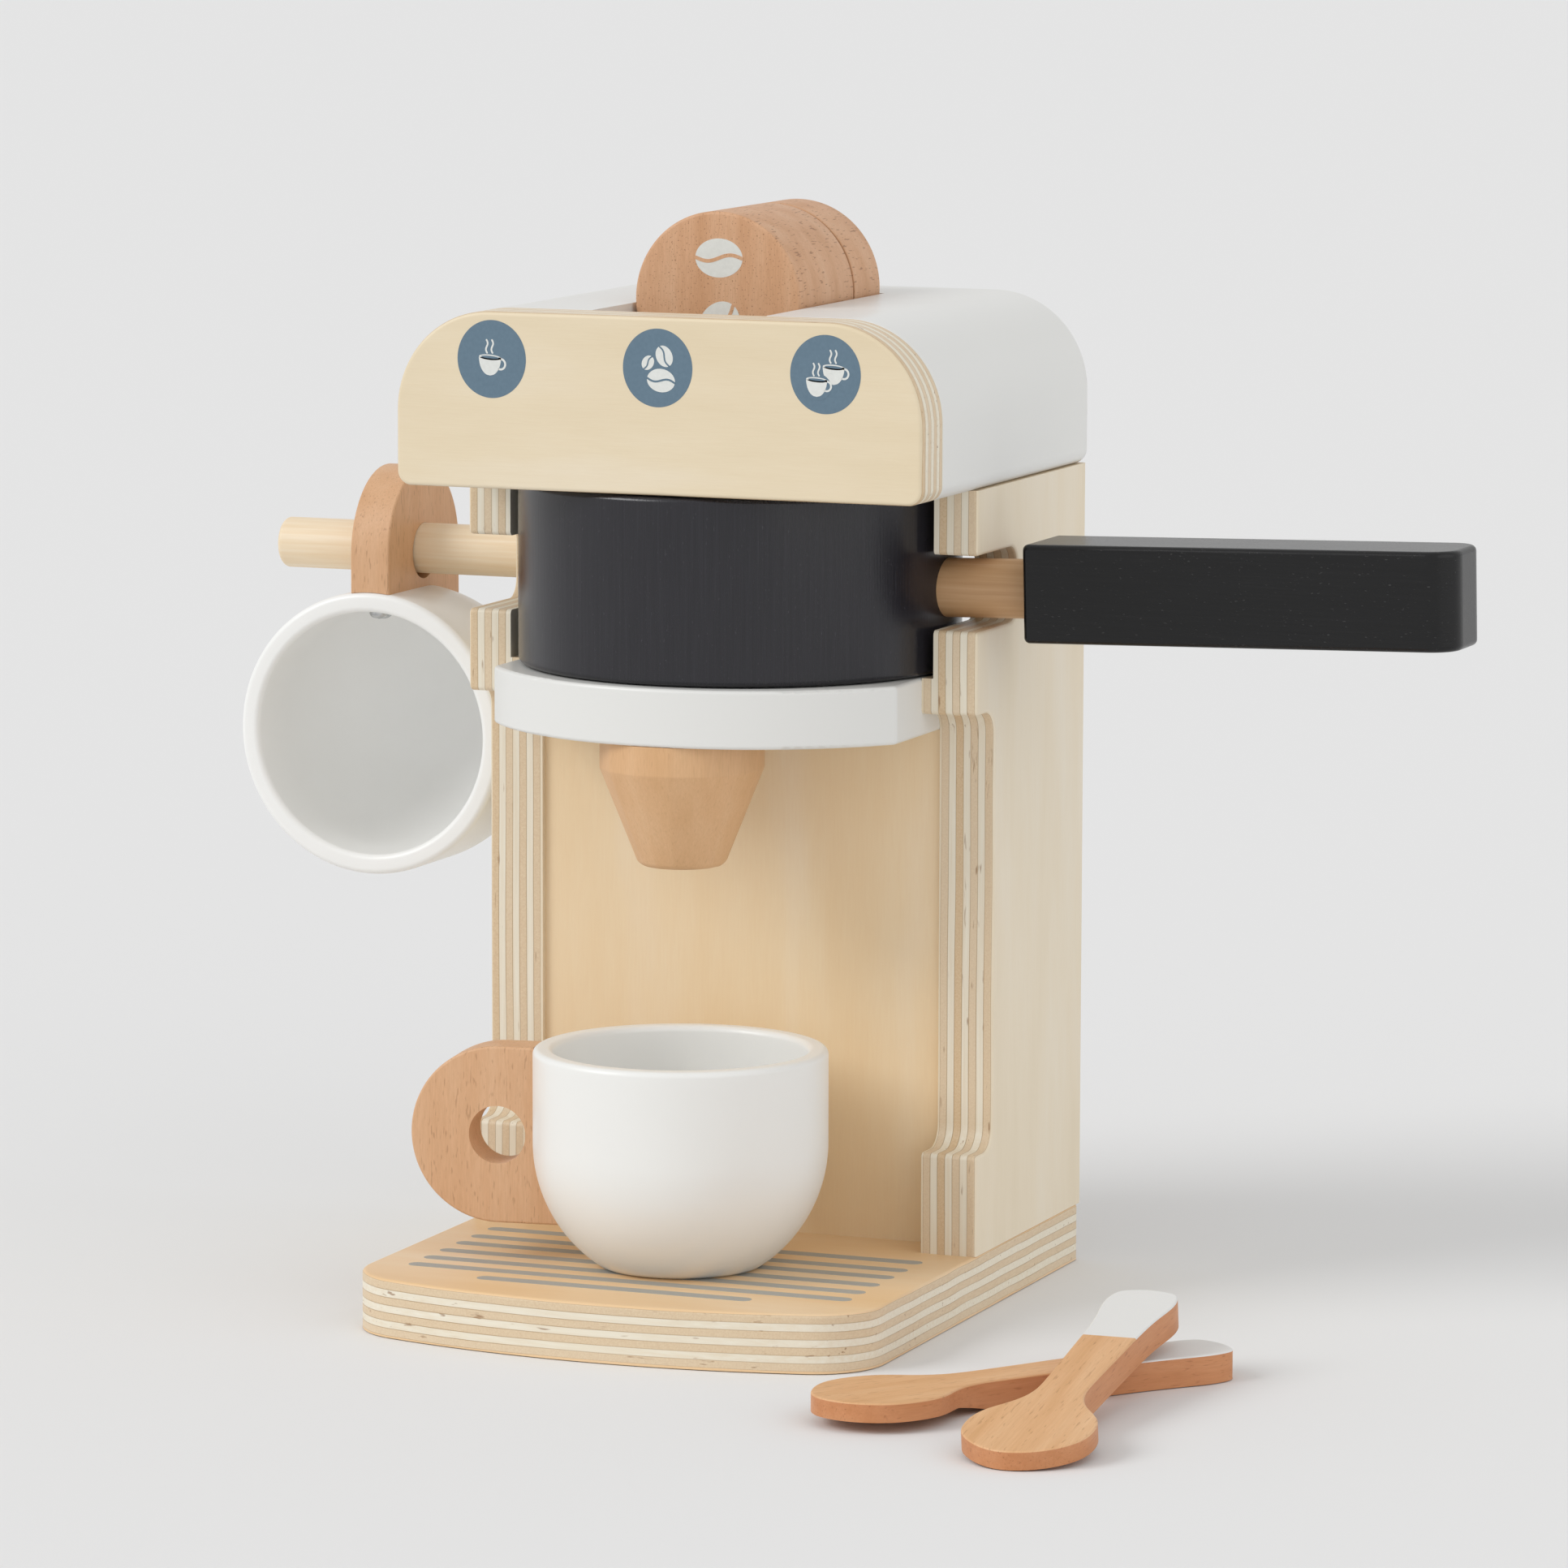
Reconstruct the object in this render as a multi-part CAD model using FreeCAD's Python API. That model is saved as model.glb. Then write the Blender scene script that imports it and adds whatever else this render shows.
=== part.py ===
import FreeCAD, Part
import os
import math

# Toy coffee maker, millimetres, +Z up, -Y is the front, +X the side with the handle.
# The origin is on the floor under the middle of the base.
os.makedirs("parts", exist_ok=True)

# The base and the plane of the column's back
ply = 12.0
column_width = 113.0
base_depth = 137.5
back_y = base_depth / 2
base_front_bow = 9.5
base_front_radius = 15.0
base_back_radius = 3.0
edge_round = 0.8
pin_clearance = 0.03
running_gap = 0.3

# The levels of the shelf that carries the drum
shelf_top_z = 131.6
shelf_thickness = 12.0
shelf_bottom_z = shelf_top_z - shelf_thickness

# The side panels, as depths from the back and heights above the floor
half_width = column_width / 2
panel_inner_x = half_width - ply
drum_room = 38.8
panel_top_z = shelf_top_z + drum_room
foot_depth = 64.6
foot_top_z = 33.0
waist_depth = 55.0
lip_depth = 65.8
lip_overlap = 4.6
lip_bottom_z = shelf_bottom_z + lip_overlap
waist_round = 4.7
notch_level = 9.9
notch_height = 15.5
notch_low_z = shelf_top_z + notch_level
notch_high_z = notch_low_z + notch_height
notch_depth = 41.7
notch_round = 4.0
recess_depth = 2.5
corner_round = 1.0

# The splash panel and the shelf's outline
splash_front_depth = 53.8
splash_thickness = 9.0
shelf_side_depth = 80.0
shelf_front_depth = 103.0
shelf_corner_round = 1.5

# The head
head_half_width = 57.2
head_bottom_z = panel_top_z
head_height = 36.0
head_top_z = head_bottom_z + head_height
head_top_radius = 20.5
head_low_radius = 3.0
head_depth = 100.1
plate_thickness = 12.0
slot_half_width = 19.0
slot_drop = 17.4
slot_floor_z = head_top_z - slot_drop
slot_back_depth = 21.2
slot_front_depth = head_depth - plate_thickness

# The drum, its dowel and the grip
drum_side_clearance = 1.0
drum_radius = panel_inner_x + recess_depth - drum_side_clearance
drum_axis_depth = 54.5
drum_edge = 1.2
dowel_radius = 6.1
handle_level = 16.45
handle_z = shelf_top_z + handle_level
handle_tilt = 1.4
dowel_in_drum = 18.0
dowel_in_grip = 14.0
grip_panel_gap = 9.3
grip_start_x = half_width + grip_panel_gap
grip_length = 91.2
grip_depth = 20.8
grip_height = 20.2
grip_round = 1.2
grip_end_round = 6.0

# The nozzle under the shelf
nozzle_setback = 17.0
nozzle_depth = shelf_front_depth - nozzle_setback
nozzle_top_radius = 16.9
nozzle_low_radius = 8.8
nozzle_collar = 6.0
nozzle_height = 26.2
nozzle_round = 2.0

# The peg and the cups
peg_radius = 5.4
peg_depth = 28.0
peg_z = 149.2
peg_reach = 59.7
peg_tip_x = -half_width - peg_reach
peg_in_panel = 8.0
peg_tip_round = 1.2
cup_radius = 30.2
cup_inner_radius = 26.0
cup_height = 45.0
cup_foot_radius = 16.2
cup_floor = 4.6
cup_rim_round = 1.3
cup_foot_round = 0.6
ear_thickness = 9.0
ear_radius = 18.3
ear_reach = 37.6
ear_level = 26.0
ear_hole_radius = 6.0
ear_edge = 0.5
cup_screw_level = 38.6
tray_cup_x = 3.0
tray_cup_depth = 94.0
tray_cup_turn = 188.5
hang_cup_gap = 1.5
hang_cup_x = -half_width - hang_cup_gap - cup_radius
hang_contact_gap = 0.05

# The capsules in the slot
capsule_radius = 18.2
capsule_back_depth = 21.5
capsule_short = 15.1
capsule_long = 30.6
capsule_round = 0.9
capsule_centre_z = slot_floor_z + capsule_radius + running_gap

# Screws and hidden wooden pins
screw_radius = 1.5
screw_head_radius = 2.5
screw_head_height = 2.1
screw_head_round = 1.3
screw_seat = 0.3
screw_end_play = 0.4
sink_height = 2.4
sink_flare = 1.0
sink_depth = 0.4
nozzle_screw_length = 28.0
cup_screw_length = 13.0
base_screw_radius = 2.0
base_screw_head_radius = 4.0
base_screw_head_height = 2.4
base_screw_length = 34.0
base_screw_sink = 0.6
base_screw_inset = 14.0
base_screw_spacing = 36.0
pin_radius = 3.0
pin_length = 20.0
pin_half = pin_length / 2
pin_end_play = 0.3
pin_depth_in_panel = 7.0
head_pin_inset = 5.0
head_pin_depth = 14.0
head_pin_spacing = 38.0
shelf_pin_depth = 16.0
shelf_pin_spacing = 30.0
splash_pin_inset = 28.0
plate_pin_inset = 17.2
plate_pin_height = 15.6

# The spoons, from a flat board, along a local X with the bowl's tip at zero
spoon_length = 95.0
spoon_thickness = 6.0
spoon_bowl_lift = 2.2
spoon_scoop_x = 27.0
spoon_scoop_end_x = 38.0
spoon_edge = 0.4
lower_spoon_x = 65.6
lower_spoon_depth = 175.6
lower_spoon_turn = 53.9
upper_spoon_x = 111.4
upper_spoon_depth = 195.6
upper_spoon_turn = 92.4
upper_spoon_tilt = 7.65


def vec(x, depth, z):
    return FreeCAD.Vector(x, back_y - depth, z)


def save(shape, node):
    shape = shape.removeSplitter()
    shape.exportStep("parts/" + node + ".step")
    print(node, round(shape.Volume / 1000, 2), "cm3", len(shape.Solids), shape.isValid())
    return shape


def box(x0, x1, depth0, depth1, z0, z1):
    low = FreeCAD.Vector(min(x0, x1), back_y - max(depth0, depth1), z0)
    return Part.makeBox(abs(x1 - x0), abs(depth1 - depth0), z1 - z0, low)


def cylinder(radius, length, start, direction):
    return Part.makeCylinder(radius, length, start, direction)


def prism(points, direction):
    face = Part.Face(Part.makePolygon(points + [points[0]]))
    return face.extrude(direction)


def edges_at(shape, test):
    return [edge for edge in shape.Edges if test(edge)]


def is_round(edge):
    return not edge.Degenerated and isinstance(edge.Curve, Part.Circle)


def along(edge, axis):
    if edge.Degenerated or not isinstance(edge.Curve, Part.Line):
        return False
    direction = edge.Curve.Direction
    return abs(abs(direction.dot(axis)) - 1) < 1e-6


X = FreeCAD.Vector(1, 0, 0)
Y = FreeCAD.Vector(0, 1, 0)
Z = FreeCAD.Vector(0, 0, 1)

# Base plate with a bowed front edge and screw holes from below
side_front = base_depth - base_front_bow
left_edge = Part.makeLine(vec(-half_width, side_front, 0), vec(-half_width, 0, 0))
back_edge = Part.makeLine(vec(-half_width, 0, 0), vec(half_width, 0, 0))
right_edge = Part.makeLine(vec(half_width, 0, 0), vec(half_width, side_front, 0))
middle = vec(0, base_depth, 0)
front_edge = Part.Arc(vec(half_width, side_front, 0), middle, vec(-half_width, side_front, 0)).toShape()
base = Part.Face(Part.Wire([left_edge, back_edge, right_edge, front_edge])).extrude(Z * ply)
uprights = edges_at(base, lambda e: along(e, Z))
front_uprights = [e for e in uprights if e.CenterOfMass.y < 0]
base = base.makeFillet(base_front_radius, front_uprights)
back_uprights = [e for e in edges_at(base, lambda e: along(e, Z)) if e.CenterOfMass.y > back_y - 1]
base = base.makeFillet(base_back_radius, back_uprights)
top_rim = [e for e in base.Edges if abs(e.CenterOfMass.z - ply) < 1e-6 and e.BoundBox.ZLength < 1e-6]
base = base.makeFillet(edge_round, top_rim)
screw_depths = (base_screw_inset, base_screw_inset + base_screw_spacing)
base_screws = []
for side in (-1, 1):
    for depth in screw_depths:
        foot = vec(side * (half_width - ply / 2), depth, 0)
        sunk = foot + Z * base_screw_sink
        shank = cylinder(base_screw_radius, base_screw_length - base_screw_sink, sunk, Z)
        head = Part.makeCone(base_screw_head_radius, base_screw_radius, base_screw_head_height, sunk, Z)
        base_screws.append(shank.fuse(head).removeSplitter())
        hole = cylinder(base_screw_radius + pin_clearance, ply, foot, Z)
        seat = Part.makeCone(base_screw_head_radius + pin_clearance, base_screw_radius + pin_clearance,
                             base_screw_head_height, sunk, Z)
        mouth = cylinder(base_screw_head_radius + pin_clearance, base_screw_sink, foot, Z)
        base = base.cut(hole.fuse([seat, mouth]))
save(base, "base_plate")
save(Part.makeCompound(base_screws), "base_screws")

# Hidden pins, as centre points and directions
both_sides = (-1, 1)
head_pin_x = half_width - head_pin_inset
head_pin_depths = (head_pin_depth, head_pin_depth + head_pin_spacing)
head_pins = [(vec(s * head_pin_x, d, panel_top_z), Z) for s in both_sides for d in head_pin_depths]
shelf_pin_z = shelf_top_z - shelf_thickness / 2
shelf_pin_depths = (shelf_pin_depth, shelf_pin_depth + shelf_pin_spacing)
shelf_pins = [(vec(s * panel_inner_x, d, shelf_pin_z), X) for s in both_sides for d in shelf_pin_depths]
splash_mid = splash_front_depth - splash_thickness / 2
splash_pin_levels = (ply + splash_pin_inset, shelf_bottom_z - splash_pin_inset)
splash_pins = [(vec(s * panel_inner_x, splash_mid, z), X) for s in both_sides for z in splash_pin_levels]
plate_pin_x = head_half_width - plate_pin_inset
plate_pin_z = head_bottom_z + plate_pin_height
plate_pins = [(vec(s * plate_pin_x, slot_front_depth, plate_pin_z), Y) for s in both_sides]


def pin(entry, radius, extra):
    centre, direction = entry
    start = centre - direction * (pin_half + extra)
    return cylinder(radius, pin_length + 2 * extra, start, direction)


def side_pin(entry, radius, extra):
    centre, direction = entry
    outward = X if centre.x > 0 else X * -1
    start = centre - outward * (pin_length - pin_depth_in_panel + extra)
    return cylinder(radius, pin_length + 2 * extra, start, outward)


def drill(shape, entries, maker):
    holes = [maker(entry, pin_radius + pin_clearance, pin_end_play) for entry in entries]
    return shape.cut(holes)


# Side panels: foot, waist, lip, notch for the handle and upper part
def panel_profile(x):
    corners = [(0, ply), (foot_depth, ply), (foot_depth, foot_top_z), (waist_depth, foot_top_z),
               (waist_depth, lip_bottom_z), (lip_depth, lip_bottom_z), (lip_depth, notch_low_z),
               (notch_depth, notch_low_z), (notch_depth, notch_high_z), (lip_depth, notch_high_z),
               (lip_depth, panel_top_z), (0, panel_top_z)]
    return [vec(x, depth, z) for depth, z in corners]


def round_corners(shape, radius, places):
    chosen = []
    for edge in edges_at(shape, lambda e: along(e, X)):
        centre = edge.CenterOfMass
        for depth, z in places:
            if abs(back_y - centre.y - depth) < 1e-3 and abs(centre.z - z) < 1e-3:
                chosen.append(edge)
    return shape.makeFillet(radius, chosen)


def side_panel(side, node):
    outer_x = side * half_width
    solid = prism(panel_profile(outer_x), X * (-side * ply))
    solid = round_corners(solid, waist_round, [(waist_depth, foot_top_z), (waist_depth, lip_bottom_z)])
    solid = round_corners(solid, notch_round, [(notch_depth, notch_low_z), (notch_depth, notch_high_z)])
    convex = [(foot_depth, foot_top_z), (lip_depth, lip_bottom_z), (lip_depth, notch_low_z),
              (lip_depth, notch_high_z)]
    solid = round_corners(solid, corner_round, convex)
    recess_x = side * (panel_inner_x + recess_depth)
    recess = box(side * (panel_inner_x - 1), recess_x, -1, lip_depth + 1, shelf_top_z, panel_top_z + 1)
    solid = solid.cut(recess)
    outer_loop = [e for e in solid.Edges if abs(e.CenterOfMass.x - outer_x) < 1e-6]
    level = [e for e in outer_loop if e.BoundBox.ZLength < 1e-6]
    skip = [e for e in level if e.CenterOfMass.z < ply + 1 or e.CenterOfMass.z > panel_top_z - 1]
    keep = [e for e in outer_loop if not any(e.isSame(other) for other in skip)]
    solid = solid.makeFillet(edge_round, keep)
    for depth in screw_depths:
        start = vec(side * (half_width - ply / 2), depth, ply)
        hole_length = base_screw_length - ply + screw_end_play
        solid = solid.cut(cylinder(base_screw_radius + pin_clearance, hole_length, start, Z))
    solid = drill(solid, head_pins, pin)
    solid = drill(solid, shelf_pins + splash_pins, side_pin)
    if side < 0:
        start = vec(-half_width - 1, peg_depth, peg_z)
        solid = solid.cut(cylinder(peg_radius + pin_clearance, peg_in_panel + 1.2, start, X))
    save(solid, node)


side_panel(-1, "left_side_panel")
side_panel(1, "right_side_panel")

# Splash panel
splash_back_depth = splash_front_depth - splash_thickness
splash = box(-panel_inner_x, panel_inner_x, splash_back_depth, splash_front_depth, ply, shelf_bottom_z)
save(drill(splash, splash_pins, side_pin), "splash_panel")

# Shelf with a bowed front, and the screw hole for the nozzle
shelf_back = [vec(-panel_inner_x, shelf_side_depth, shelf_bottom_z), vec(-panel_inner_x, 0, shelf_bottom_z),
              vec(panel_inner_x, 0, shelf_bottom_z), vec(panel_inner_x, shelf_side_depth, shelf_bottom_z)]
shelf_lines = [Part.makeLine(shelf_back[i], shelf_back[i + 1]) for i in range(3)]
shelf_arc = Part.Arc(shelf_back[3], vec(0, shelf_front_depth, shelf_bottom_z), shelf_back[0]).toShape()
shelf = Part.Face(Part.Wire(shelf_lines + [shelf_arc])).extrude(Z * shelf_thickness)
shelf_uprights = edges_at(shelf, lambda e: along(e, Z))
front_corners = [e for e in shelf_uprights if back_y - e.CenterOfMass.y > shelf_side_depth - 1]
shelf = shelf.makeFillet(shelf_corner_round, front_corners)
bow_rims = [e for e in shelf.Edges if is_round(e) and e.BoundBox.ZLength < 1e-6]
shelf = shelf.makeFillet(edge_round, bow_rims)
shelf = drill(shelf, shelf_pins, side_pin)
nozzle_axis = vec(0, nozzle_depth, 0)
screw_top = nozzle_axis + Z * (shelf_top_z - sink_depth)
sink_radius = screw_head_radius + sink_flare
sink = Part.makeCone(sink_radius, screw_radius, sink_height, screw_top, Z * -1)
shank = cylinder(screw_radius, nozzle_screw_length, screw_top, Z * -1)
save(sink.fuse(shank), "nozzle_screw")
bored_radius = screw_radius + pin_clearance
sink_hole = Part.makeCone(sink_radius + pin_clearance, bored_radius, sink_height, screw_top, Z * -1)
mouth = cylinder(sink_radius + pin_clearance, sink_depth + 0.1, screw_top, Z)
screw_hole = cylinder(bored_radius, nozzle_screw_length + screw_end_play, screw_top, Z * -1)
shelf = shelf.cut([sink_hole, mouth, screw_hole])
save(shelf, "drum_shelf")

# Nozzle, turned
collar_z = shelf_bottom_z - nozzle_collar
nozzle_end_z = shelf_bottom_z - nozzle_height
outline = [(0, shelf_bottom_z), (nozzle_top_radius, shelf_bottom_z), (nozzle_top_radius, collar_z),
           (nozzle_low_radius, nozzle_end_z), (0, nozzle_end_z)]
points = [nozzle_axis + FreeCAD.Vector(r, 0, z) for r, z in outline]
nozzle = Part.Face(Part.makePolygon(points + [points[0]])).revolve(nozzle_axis, Z, 360)
tip_rim = [e for e in nozzle.Edges if abs(e.CenterOfMass.z - nozzle_end_z) < 1e-6 and is_round(e)]
nozzle = nozzle.makeFillet(nozzle_round, tip_rim)
save(nozzle.cut(screw_hole), "nozzle")


# Head: white body with the capsule slot, and the birch front plate
def head_block(depth0, depth1):
    block = box(-head_half_width, head_half_width, depth0, depth1, head_bottom_z, head_top_z)
    rims = edges_at(block, lambda e: along(e, Y))
    upper = [e for e in rims if e.CenterOfMass.z > head_top_z - 1]
    block = block.makeFillet(head_top_radius, upper)
    lower = [e for e in edges_at(block, lambda e: along(e, Y)) if e.CenterOfMass.z < head_bottom_z + 1]
    return block.makeFillet(head_low_radius, lower)


def rim_at(shape, depth):
    level = [e for e in shape.Edges if e.BoundBox.YLength < 1e-6]
    return [e for e in level if abs(back_y - e.CenterOfMass.y - depth) < 1e-6]


head_body = head_block(0, slot_front_depth)
head_body = head_body.makeFillet(2.0, rim_at(head_body, 0))
head_body = head_body.makeFillet(0.5, rim_at(head_body, slot_front_depth))
slot_top_z = head_top_z + 1
slot_end = slot_front_depth + 1
slot = box(-slot_half_width, slot_half_width, slot_back_depth, slot_end, slot_floor_z, slot_top_z)
head_body = head_body.cut(slot)
head_body = drill(head_body, head_pins + plate_pins, pin)
save(head_body, "head_body")
plate = head_block(slot_front_depth, head_depth)
plate = plate.makeFillet(edge_round, rim_at(plate, head_depth))
plate = plate.makeFillet(0.5, rim_at(plate, slot_front_depth))
save(drill(plate, plate_pins, pin), "head_front_plate")
save(Part.makeCompound([pin(e, pin_radius, 0) for e in head_pins]), "head_dowels")
save(Part.makeCompound([pin(e, pin_radius, 0) for e in plate_pins]), "plate_dowels")
save(Part.makeCompound([side_pin(e, pin_radius, 0) for e in shelf_pins]), "shelf_dowels")
save(Part.makeCompound([side_pin(e, pin_radius, 0) for e in splash_pins]), "splash_dowels")

# Drum with its handle: drum, dowel and grip
drum_low_z = shelf_top_z + running_gap
drum_height = head_bottom_z - running_gap - drum_low_z
drum = cylinder(drum_radius, drum_height, vec(0, drum_axis_depth, drum_low_z), Z)
drum_rims = [e for e in drum.Edges if is_round(e)]
drum = drum.makeFillet(drum_edge, drum_rims)
dowel_start = drum_radius - dowel_in_drum
dowel_length = grip_start_x + dowel_in_grip - dowel_start
handle_axis = vec(0, drum_axis_depth, handle_z)
dowel_foot = handle_axis + X * dowel_start
bore_end = dowel_foot - X * pin_end_play


def tilted(shape):
    copy = shape.copy()
    copy.rotate(handle_axis, Y, -handle_tilt)
    return copy


bore = cylinder(dowel_radius + pin_clearance, dowel_length + 2 * pin_end_play, bore_end, X)
save(drum.cut(tilted(bore)), "portafilter_drum")
save(tilted(cylinder(dowel_radius, dowel_length, dowel_foot, X)), "portafilter_dowel")
grip_end_x = grip_start_x + grip_length
grip = box(grip_start_x, grip_end_x, drum_axis_depth - grip_depth / 2, drum_axis_depth + grip_depth / 2,
           handle_z - grip_height / 2, handle_z + grip_height / 2)
end_edges = [e for e in edges_at(grip, lambda e: along(e, Z)) if e.CenterOfMass.x > grip_end_x - 1]
grip = grip.makeFillet(grip_end_round, end_edges)
sharp = [e for e in grip.Edges if e.BoundBox.ZLength < 1e-6 or e.CenterOfMass.x < grip_start_x + 1]
grip = grip.makeFillet(grip_round, sharp)
save(tilted(grip.cut(bore)), "portafilter_grip")

# Peg on the left panel
peg_end_x = -half_width + peg_in_panel
peg = cylinder(peg_radius, peg_end_x - peg_tip_x, vec(peg_tip_x, peg_depth, peg_z), X)
tip = [e for e in peg.Edges if is_round(e) and e.CenterOfMass.x < peg_tip_x + 1]
save(peg.makeFillet(peg_tip_round, tip), "cup_peg")


# Cup: bowl with a round bottom, ear with a finger hole and one screw, standing on its foot
def cup_outside():
    centre_z = math.sqrt(cup_radius ** 2 - cup_foot_radius ** 2)
    low = FreeCAD.Vector(cup_foot_radius, 0, 0)
    high = FreeCAD.Vector(cup_radius, 0, centre_z)
    angle = (math.asin(-centre_z / cup_radius)) / 2
    between = FreeCAD.Vector(cup_radius * math.cos(angle), 0, centre_z + cup_radius * math.sin(angle))
    top = FreeCAD.Vector(cup_radius, 0, cup_height)
    axis_top = FreeCAD.Vector(0, 0, cup_height)
    axis_low = FreeCAD.Vector(0, 0, 0)
    curve = Part.Arc(low, between, high).toShape()
    lines = [Part.makeLine(axis_low, low), curve, Part.makeLine(high, top), Part.makeLine(top, axis_top),
             Part.makeLine(axis_top, axis_low)]
    return Part.Face(Part.Wire(lines)).revolve(axis_low, Z, 360)


def cup_parts():
    outside = cup_outside()
    inner_centre = cup_floor + cup_inner_radius
    inside = Part.makeSphere(cup_inner_radius, FreeCAD.Vector(0, 0, inner_centre))
    bore = cylinder(cup_inner_radius, cup_height, FreeCAD.Vector(0, 0, inner_centre), Z)
    bowl = outside.cut(inside.fuse(bore))
    rims = [e for e in bowl.Edges if is_round(e) and abs(e.CenterOfMass.z - cup_height) < 1e-6]
    bowl = bowl.makeFillet(cup_rim_round, rims)
    foot_rim = [e for e in bowl.Edges if is_round(e) and abs(e.CenterOfMass.z) < 1e-6]
    bowl = bowl.makeFillet(cup_foot_round, foot_rim)
    half = ear_thickness / 2
    disc_foot = FreeCAD.Vector(ear_reach, -half, ear_level)
    ear = cylinder(ear_radius, ear_thickness, disc_foot, Y)
    strap_foot = FreeCAD.Vector(0, -half, ear_level - ear_radius)
    strap = Part.makeBox(ear_reach, ear_thickness, 2 * ear_radius, strap_foot)
    ear = ear.fuse(strap).removeSplitter()
    broad = [e for e in ear.Edges if abs(abs(e.CenterOfMass.y) - half) < 1e-6 and e.BoundBox.YLength < 1e-6]
    ear = ear.makeFillet(ear_edge, [e for e in broad if e.CenterOfMass.x > 1])
    hole = cylinder(ear_hole_radius, ear_thickness + 2, disc_foot - Y, Y)
    ear = ear.cut(hole.fuse(outside))
    head_foot = FreeCAD.Vector(cup_inner_radius + screw_seat - screw_head_height, 0, cup_screw_level)
    head = cylinder(screw_head_radius, screw_head_height, head_foot, X)
    dome = [e for e in head.Edges if is_round(e) and e.CenterOfMass.x < head_foot.x + 0.1]
    head = head.makeFillet(screw_head_round, dome)
    shank_foot = head_foot + X * screw_head_height
    shank = cylinder(screw_radius, cup_screw_length, shank_foot, X)
    screw = head.fuse(shank).removeSplitter()
    hole_length = cup_screw_length + screw_end_play
    hole = cylinder(screw_radius + pin_clearance, hole_length, shank_foot, X)
    seat = cylinder(screw_head_radius + pin_clearance, screw_head_height, head_foot, X)
    bowl = bowl.cut(hole.fuse(seat))
    ear = ear.cut(hole)
    return bowl, ear, screw


def place(shape, matrix):
    copy = shape.copy()
    copy.Placement = matrix
    return copy


bowl, ear, screw = cup_parts()
tray_turn = FreeCAD.Rotation(Z, tray_cup_turn)
tray_place = FreeCAD.Placement(vec(tray_cup_x, tray_cup_depth, ply), tray_turn)
save(place(bowl, tray_place), "tray_cup_bowl")
save(place(ear, tray_place), "tray_cup_ear")
save(place(screw, tray_place), "tray_cup_screw")

# The hanging cup: mouth to the front, ear up, with the top of its hole on the peg
hang_turn = FreeCAD.Rotation(FreeCAD.Matrix(0, -1, 0, 0, 0, 0, -1, 0, 1, 0, 0, 0, 0, 0, 0, 1))
hole_drop = ear_hole_radius - peg_radius - hang_contact_gap
hang_z = peg_z - hole_drop - ear_reach
hang_foot = vec(hang_cup_x, peg_depth - ear_level, hang_z)
hang_place = FreeCAD.Placement(hang_foot, hang_turn)
save(place(bowl, hang_place), "hanging_cup_bowl")
save(place(ear, hang_place), "hanging_cup_ear")
save(place(screw, hang_place), "hanging_cup_screw")


# Capsules lying in the slot
def capsule(start_depth, length, node):
    solid = cylinder(capsule_radius, length, vec(0, start_depth, capsule_centre_z), Y * -1)
    solid = solid.makeFillet(capsule_round, [e for e in solid.Edges if is_round(e)])
    save(solid, node)


capsule(capsule_back_depth, capsule_short, "capsule_back")
capsule(capsule_back_depth + capsule_short + running_gap, capsule_long, "capsule_front")


# Spoon sawn from a flat board: oval bowl, narrow neck, wider handle, thinned under the bowl
def spoon():
    half_outline = [(4.0, 8.6), (9.0, 11.9), (15.0, 12.7), (21.0, 11.4), (27.0, 7.6), (32.0, 5.5),
                    (40.0, 4.9), (60.0, 5.4), (80.0, 6.5), (spoon_length - 4.5, 6.9),
                    (spoon_length - 1.6, 5.6), (spoon_length - 0.5, 3.2)]
    near = [FreeCAD.Vector(x, -y, 0) for x, y in half_outline]
    far = [FreeCAD.Vector(x, y, 0) for x, y in reversed(half_outline)]
    tip = FreeCAD.Vector(0, 0, 0)
    end = FreeCAD.Vector(spoon_length, 0, 0)
    curve = Part.BSplineCurve()
    curve.interpolate([tip] + near + [end] + far, PeriodicFlag=True)
    board = Part.Face(Part.Wire([curve.toShape()])).extrude(Z * spoon_thickness)
    scoop = [(-5.0, -1.0), (-5.0, spoon_bowl_lift), (spoon_scoop_x, spoon_bowl_lift),
             (spoon_scoop_end_x, 0), (spoon_scoop_end_x, -1.0)]
    points = [FreeCAD.Vector(x, -20, z) for x, z in scoop]
    board = board.cut(prism(points, Y * 40))
    rims = [e for e in board.Edges if abs(e.CenterOfMass.z - spoon_thickness) < 1e-6]
    return board.makeFillet(spoon_edge, rims)


def spoon_place(x, depth, turn, tilt):
    lean = FreeCAD.Rotation(Y, -tilt)
    heading = FreeCAD.Rotation(Z, turn)
    return FreeCAD.Placement(vec(x, depth, 0), heading.multiply(lean))


flat_spoon = spoon()
lower = place(flat_spoon, spoon_place(lower_spoon_x, lower_spoon_depth, lower_spoon_turn, 0))
upper = place(flat_spoon, spoon_place(upper_spoon_x, upper_spoon_depth, upper_spoon_turn, upper_spoon_tilt))
tip_lift = spoon_bowl_lift * math.cos(math.radians(upper_spoon_tilt))
upper = upper.translated(Z * -tip_lift)
save(lower, "spoon_lower")
save(upper, "spoon_upper")
print("spoon gap", round(lower.distToShape(upper)[0], 2))
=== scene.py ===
import math
import bpy
import numpy as np
from mathutils import Matrix, Vector


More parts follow.
